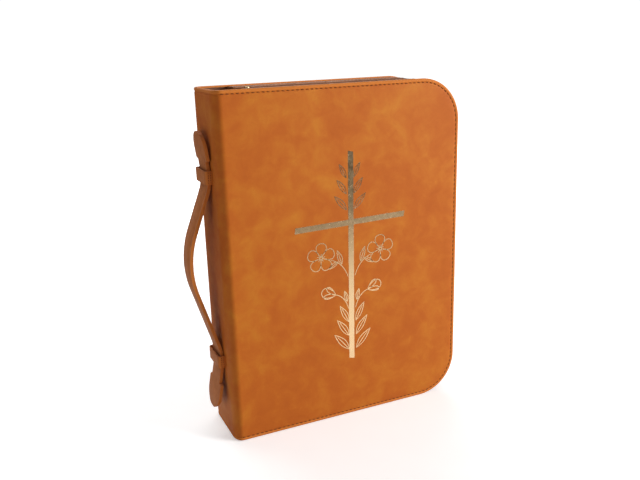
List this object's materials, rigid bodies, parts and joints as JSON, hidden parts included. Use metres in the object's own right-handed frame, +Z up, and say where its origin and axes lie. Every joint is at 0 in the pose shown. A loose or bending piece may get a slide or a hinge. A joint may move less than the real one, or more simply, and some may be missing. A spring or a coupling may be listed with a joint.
{
  "type": "zipped bible case",
  "caption": "Tan leather zip case with a foil cross, standing on edge with a Bible inside; both covers open at the spine and a strap handle slides in keepers.",
  "frame": {"origin": "centre of the bounding box at the height of the foot edges, with both covers closed", "axes": "+Z up along the spine, +X from the spine to the opening edge, +Y from the front cover to the back cover"},
  "size_m": [0.2172, 0.055, 0.26],
  "materials": {
    "leather": "pull-up tan, satin",
    "board": "plain grey board",
    "lining": "fine woven brown lining",
    "panel": "tan, matte",
    "tape": "woven zip tape",
    "teeth": "coil zip",
    "brass": "light antique brass",
    "bible_cover": "dark bonded leather",
    "paper": "thin cream paper",
    "ribbon": "satin ribbon",
    "headband": "striped silk"
  },
  "bodies": {
    "spine": {"spine_leather": "leather", "spine_board": "board", "spine_lining": "lining", "upper_keeper": "leather", "lower_keeper": "leather", "bible_spine": "bible_cover", "upper_headband": "headband", "lower_headband": "headband", "front_leaf_roots": "paper", "back_leaf_roots": "paper"},
    "strap": {"handle_strap": "leather"},
    "front_cover": {"front_cover_leather": "leather", "front_cover_board": "board", "front_lining": "lining", "front_gusset": "panel", "front_zip_tape": "tape", "front_zip_teeth": "teeth", "front_sleeve": "lining", "front_bible_board": "bible_cover", "front_card_pocket": "lining"},
    "front_leaf_block": {"front_leaves": "paper", "front_endpaper": "paper"},
    "back_cover": {"back_cover_leather": "leather", "back_cover_board": "board", "back_lining": "lining", "back_gusset": "panel", "back_zip_tape": "tape", "back_zip_teeth": "teeth", "back_sleeve": "lining", "back_bible_board": "bible_cover", "pen_loop": "leather", "zip_end_stops": "brass"},
    "back_leaf_block": {"back_leaves": "paper", "back_endpaper": "paper", "ribbon_marker": "ribbon"},
    "upper_slider": {"upper_slider": "brass"},
    "upper_pull": {"upper_pull": "brass"},
    "lower_slider": {"lower_slider": "brass"},
    "lower_pull": {"lower_pull": "brass"}
  },
  "joints": [
    {"name": "front_cover_fold", "type": "hinge", "parent": "spine", "child": "front_cover", "pos_m": [-0.08751, -0.02643, 0.13], "axis": [0, 0, -1], "range_deg": [0, 90]},
    {"name": "front_leaf_turn", "type": "hinge", "parent": "spine", "child": "front_leaf_block", "pos_m": [-0.06108, 0, 0.13], "axis": [0, 0, -1], "range_deg": [0, 90], "deforming": ["front_leaf_roots"]},
    {"name": "back_cover_fold", "type": "hinge", "parent": "spine", "child": "back_cover", "pos_m": [-0.08751, 0.02643, 0.13], "axis": [0, 0, 1], "range_deg": [0, 90]},
    {"name": "back_leaf_turn", "type": "hinge", "parent": "spine", "child": "back_leaf_block", "pos_m": [-0.06108, 0, 0.13], "axis": [0, 0, 1], "range_deg": [0, 90], "deforming": ["back_leaf_roots"]},
    {"name": "strap_slide", "type": "slide", "parent": "spine", "child": "strap", "axis": [0, 0, 1], "range_m": [-0.0063, 0.0063]},
    {"name": "upper_slider_run", "type": "slide", "parent": "back_cover", "child": "upper_slider", "axis": [0, 0, 1], "range_m": [0, 0.08]},
    {"name": "upper_pull_swing", "type": "hinge", "parent": "upper_slider", "child": "upper_pull", "pos_m": [0.10687, 0, 0.1357], "axis": [0, 1, 0], "range_deg": [0, 90]},
    {"name": "lower_slider_run", "type": "slide", "parent": "back_cover", "child": "lower_slider", "axis": [0, 0, -1], "range_m": [0, 0.08]},
    {"name": "lower_pull_swing", "type": "hinge", "parent": "lower_slider", "child": "lower_pull", "pos_m": [0.10687, 0, 0.1243], "axis": [0, -1, 0], "range_deg": [0, 90]}
  ],
  "couplings": [
    {"joint": "front_leaf_turn", "follows": "front_cover_fold", "ratio": 1},
    {"joint": "back_leaf_turn", "follows": "back_cover_fold", "ratio": 1}
  ]
}
